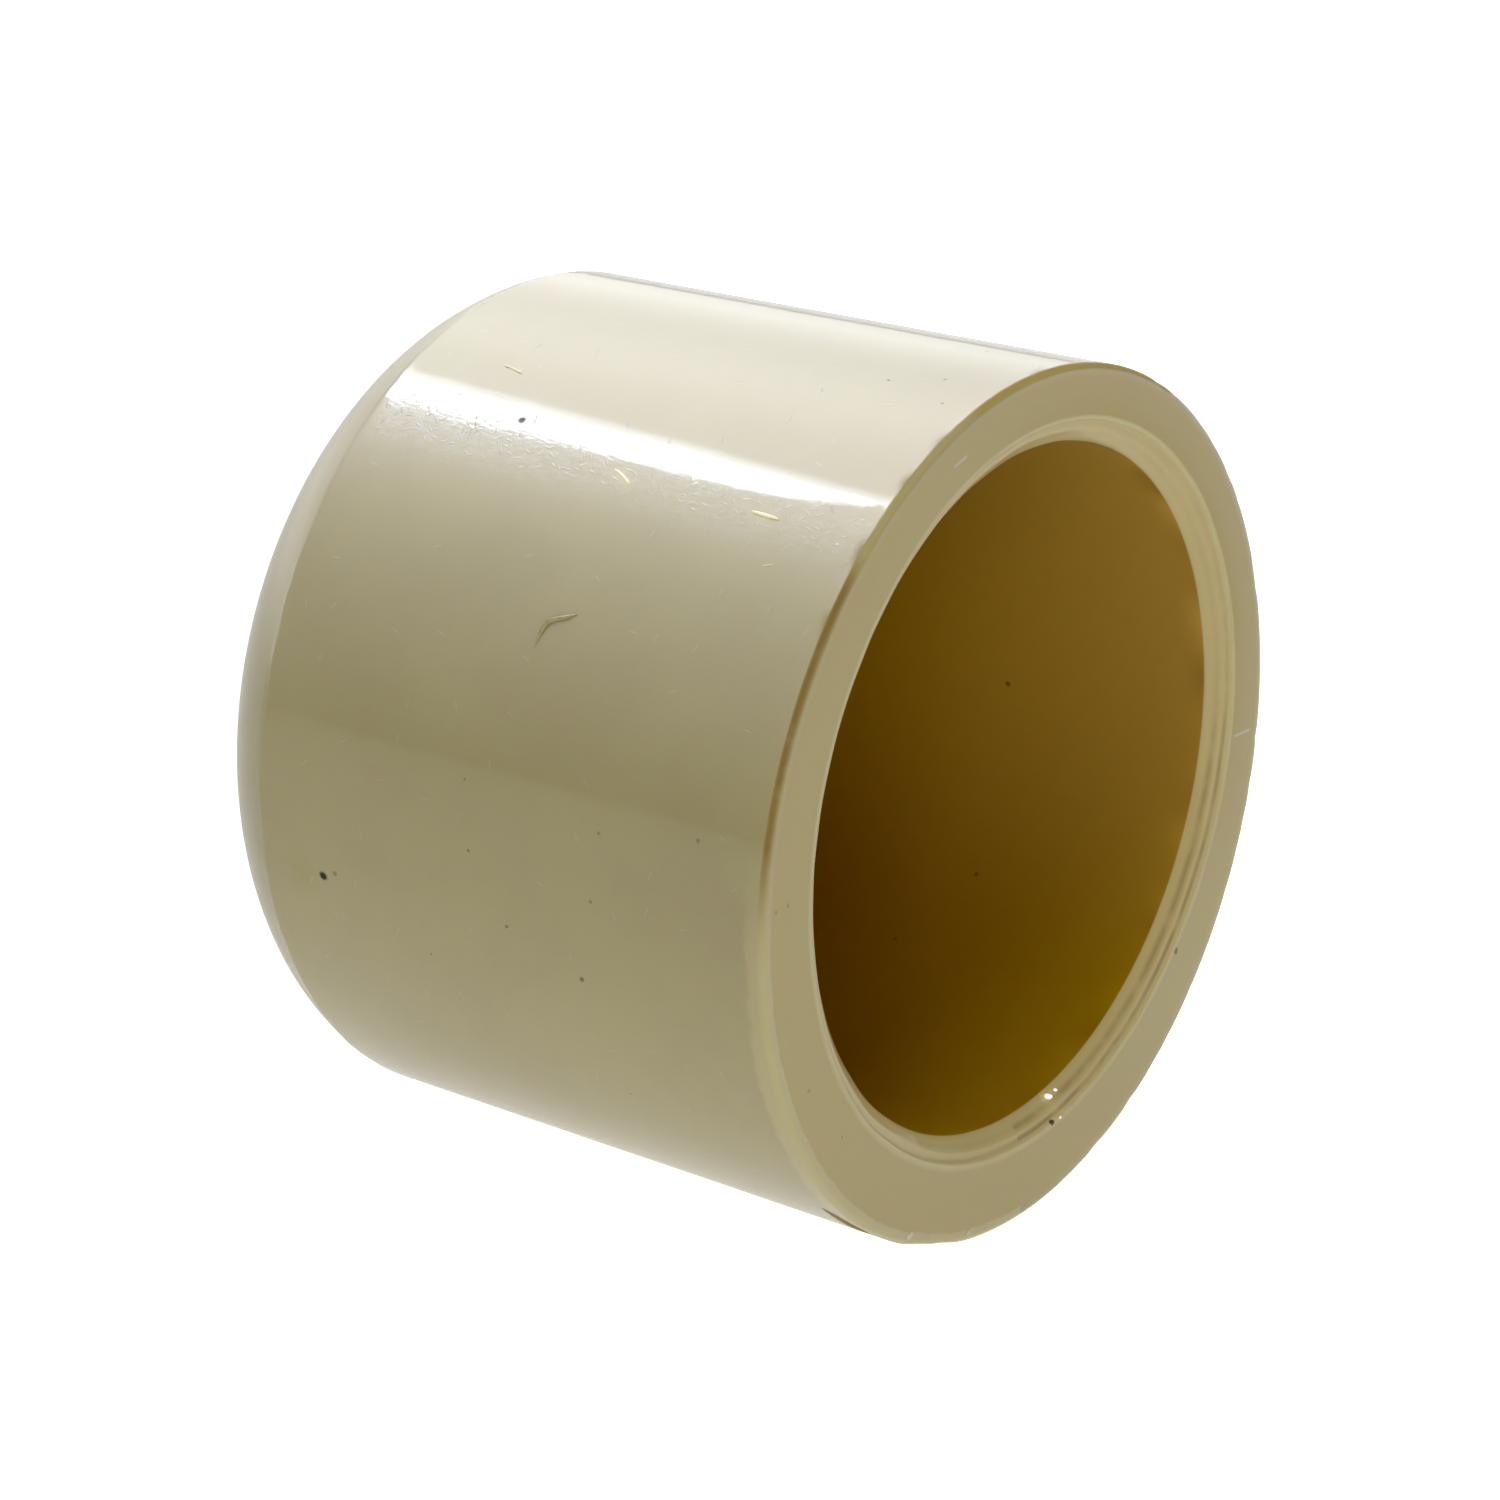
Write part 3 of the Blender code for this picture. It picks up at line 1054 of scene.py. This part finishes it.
def build_streak_lamp():
    """The wedge as rows of points across it, crisp on its lower side and soft on its upper side."""
    along = (STREAK_END - STREAK_START).normalized()
    up_side = Vector((along.y, -along.x))
    rows = []
    for i in range(STREAK_STATIONS):
        angle = math.pi / 2 * (i + 0.5) / STREAK_STATIONS
        centre = STREAK_START - along * STREAK_BLUNT_END * math.cos(angle)
        rows.append((centre, STREAK_START_HALF_WIDTH * math.sin(angle)))
    rows.append((STREAK_START, STREAK_START_HALF_WIDTH))
    rows.append((STREAK_END, STREAK_END_HALF_WIDTH))

    points = []
    strengths = []
    for centre, half_width in rows:
        for side, strength in STREAK_PROFILE:
            point = centre + up_side * half_width * side
            points.append((point.x, point.y, STREAK_HEIGHT))
            strengths.append(strength)
    faces = []
    across = len(STREAK_PROFILE)
    for row in range(len(rows) - 1):
        for k in range(row * across, row * across + across - 1):
            faces.append((k, k + 1, k + 1 + across, k + across))

    mesh = bpy.data.meshes.new("streak_lamp")
    mesh.from_pydata(points, [], faces)
    brightness = mesh.attributes.new("brightness", "FLOAT", "POINT")
    brightness.data.foreach_set("value", strengths)
    material = new_material("streak_light")
    graph = Graph(material)
    strength = graph.product(graph.mask("brightness"), STREAK_RADIANCE)
    glow = graph.add("ShaderNodeEmission", {"Color": STREAK_COLOUR, "Strength": strength})
    see_through = graph.add("ShaderNodeBsdfTransparent", {})
    surface = graph.add("ShaderNodeAddShader", {0: glow, 1: see_through})
    graph.feed(graph.tree.nodes["Material Output"].inputs["Surface"], surface)
    mesh.materials.append(material)
    lamp = link_object("streak_lamp", mesh)
    lamp.visible_camera = False
    lamp.visible_diffuse = False


def build_world():
    """Soft glows that only the gloss shows, and plain white where the camera sees past the floor."""
    world = bpy.data.worlds.new("studio")
    world.use_nodes = True
    bpy.context.scene.world = world
    graph = Graph(world)
    towards = graph.add("ShaderNodeTexCoord", {}, "Generated")
    total = 0.0
    for glow in GLOWS:
        facing = graph.along(towards, Vector(glow.towards).normalized())
        shape = graph.math("POWER", graph.math("MAXIMUM", facing, 0.0), glow.narrow)
        total = graph.math("ADD", total, graph.product(shape, glow.radiance))
    ray = graph.add("ShaderNodeLightPath", {}).node
    strength = graph.product(total, ray.outputs["Is Glossy Ray"])
    strength = graph.math("ADD", strength, ray.outputs["Is Camera Ray"])
    graph.feed(graph.tree.nodes["Background"].inputs["Strength"], strength)
    graph.feed(graph.tree.nodes["Background"].inputs["Color"], WHITE)
    world.cycles.sampling_method = "NONE"


def build_floor():
    """Plain pale floor under the cap."""
    bpy.ops.mesh.primitive_plane_add(size=FLOOR_SIZE, location=(0.0, 0.0, BODY_LOW.z))
    floor = bpy.context.active_object
    floor.name = "studio_floor"
    material = new_material("pale_floor")
    graph = Graph(material)
    ray = graph.add("ShaderNodeLightPath", {}).node
    bounce = graph.product(ray.outputs["Is Diffuse Ray"], FLOOR_BOUNCE)
    mirrored = graph.product(ray.outputs["Is Glossy Ray"], FLOOR_MIRRORED)
    seen = graph.product(ray.outputs["Is Camera Ray"], FLOOR_SEEN)
    glow = graph.math("ADD", seen, graph.math("ADD", bounce, mirrored))
    shader = graph.tree.nodes["Principled BSDF"]
    graph.feed(shader.inputs["Base Color"], FLOOR_PALE)
    graph.feed(shader.inputs["Roughness"], FLOOR_ROUGHNESS)
    graph.feed(shader.inputs["Emission Color"], WHITE)
    graph.feed(shader.inputs["Emission Strength"], glow)
    material.cycles.emission_sampling = "NONE"
    floor.data.materials.append(material)


def build_camera():
    data = bpy.data.cameras.new("camera")
    data.lens = CAMERA_LENS
    data.sensor_width = CAMERA_SENSOR
    data.clip_start = CAMERA_NEAREST
    camera = link_object("camera", data)
    camera.location = CAMERA_AIM + away_from(CAMERA_AZIMUTH, CAMERA_ELEVATION) * CAMERA_DISTANCE
    aim(camera, CAMERA_AIM)
    bpy.context.scene.camera = camera


build_body(cpvc())
scrap_materials = {scrap: scrap_plastic(scrap) for scrap in SCRAPS}
for shaving in SHAVINGS:
    build_shaving(shaving, scrap_materials[shaving.scrap])
for nib in nibs():
    build_nib(nib, scrap_materials[nib.scrap])
middle = (BODY_LOW + BODY_HIGH) / 2
build_lamps(middle)
build_streak_lamp()
build_world()
build_floor()
build_camera()
bpy.context.scene.view_settings.view_transform = "Standard"
